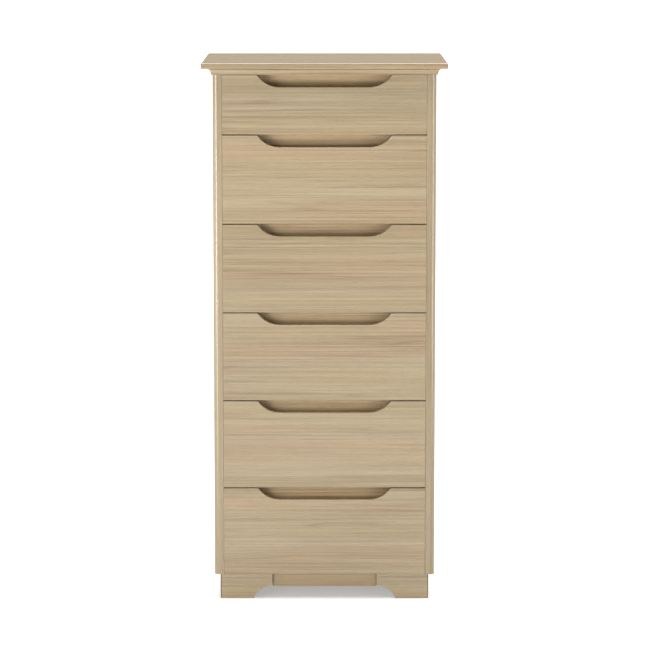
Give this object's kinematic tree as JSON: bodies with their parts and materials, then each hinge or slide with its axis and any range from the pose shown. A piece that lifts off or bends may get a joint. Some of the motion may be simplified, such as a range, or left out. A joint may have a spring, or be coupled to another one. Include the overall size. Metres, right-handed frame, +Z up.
{
  "type": "tall chest of drawers",
  "caption": "Tall narrow wooden chest with a moulded top, scooped finger grips in the drawer fronts and a bracket-foot plinth. Every drawer slides out on side runners.",
  "frame": {"origin": "on the floor, under the centre of the chest's bounding box", "axes": "+Z up, -Y out of the drawer fronts, +X to the right of a person facing the drawers"},
  "size_m": [0.54, 0.425, 1.2],
  "materials": {
    "oak": "light oak with a satin clear lacquer",
    "drawer_wood": "plain pale wood, thinly sealed",
    "thin_board": "thin plywood, sealed"
  },
  "bodies": {
    "carcass": {"top_board": "oak", "side_panel_left": "oak", "side_panel_right": "oak", "back_panel": "thin_board", "base_panel": "oak", "top_rail_front": "oak", "top_rail_rear": "oak", "divider_rail_1": "oak", "divider_rail_2": "oak", "divider_rail_3": "oak", "divider_rail_4": "oak", "divider_rail_5": "oak", "front_foot_left": "oak", "front_foot_right": "oak", "plinth_front_rail": "oak", "plinth_back_rail": "oak", "plinth_side_left": "oak", "plinth_side_right": "oak", "runner_1_left": "drawer_wood", "runner_1_right": "drawer_wood", "runner_2_left": "drawer_wood", "runner_2_right": "drawer_wood", "runner_3_left": "drawer_wood", "runner_3_right": "drawer_wood", "runner_4_left": "drawer_wood", "runner_4_right": "drawer_wood", "runner_5_left": "drawer_wood", "runner_5_right": "drawer_wood", "runner_6_left": "drawer_wood", "runner_6_right": "drawer_wood"},
    "drawer_1": {"drawer_1_front": "oak", "drawer_1_side_left": "drawer_wood", "drawer_1_side_right": "drawer_wood", "drawer_1_back": "drawer_wood", "drawer_1_bottom": "thin_board"},
    "drawer_2": {"drawer_2_front": "oak", "drawer_2_side_left": "drawer_wood", "drawer_2_side_right": "drawer_wood", "drawer_2_back": "drawer_wood", "drawer_2_bottom": "thin_board"},
    "drawer_3": {"drawer_3_front": "oak", "drawer_3_side_left": "drawer_wood", "drawer_3_side_right": "drawer_wood", "drawer_3_back": "drawer_wood", "drawer_3_bottom": "thin_board"},
    "drawer_4": {"drawer_4_front": "oak", "drawer_4_side_left": "drawer_wood", "drawer_4_side_right": "drawer_wood", "drawer_4_back": "drawer_wood", "drawer_4_bottom": "thin_board"},
    "drawer_5": {"drawer_5_front": "oak", "drawer_5_side_left": "drawer_wood", "drawer_5_side_right": "drawer_wood", "drawer_5_back": "drawer_wood", "drawer_5_bottom": "thin_board"},
    "drawer_6": {"drawer_6_front": "oak", "drawer_6_side_left": "drawer_wood", "drawer_6_side_right": "drawer_wood", "drawer_6_back": "drawer_wood", "drawer_6_bottom": "thin_board"}
  },
  "joints": [
    {"name": "drawer_1_slide", "type": "slide", "parent": "carcass", "child": "drawer_1", "axis": [0, -1, 0], "range_m": [0, 0.28]},
    {"name": "drawer_2_slide", "type": "slide", "parent": "carcass", "child": "drawer_2", "axis": [0, -1, 0], "range_m": [0, 0.28]},
    {"name": "drawer_3_slide", "type": "slide", "parent": "carcass", "child": "drawer_3", "axis": [0, -1, 0], "range_m": [0, 0.28]},
    {"name": "drawer_4_slide", "type": "slide", "parent": "carcass", "child": "drawer_4", "axis": [0, -1, 0], "range_m": [0, 0.28]},
    {"name": "drawer_5_slide", "type": "slide", "parent": "carcass", "child": "drawer_5", "axis": [0, -1, 0], "range_m": [0, 0.28]},
    {"name": "drawer_6_slide", "type": "slide", "parent": "carcass", "child": "drawer_6", "axis": [0, -1, 0], "range_m": [0, 0.28]}
  ]
}
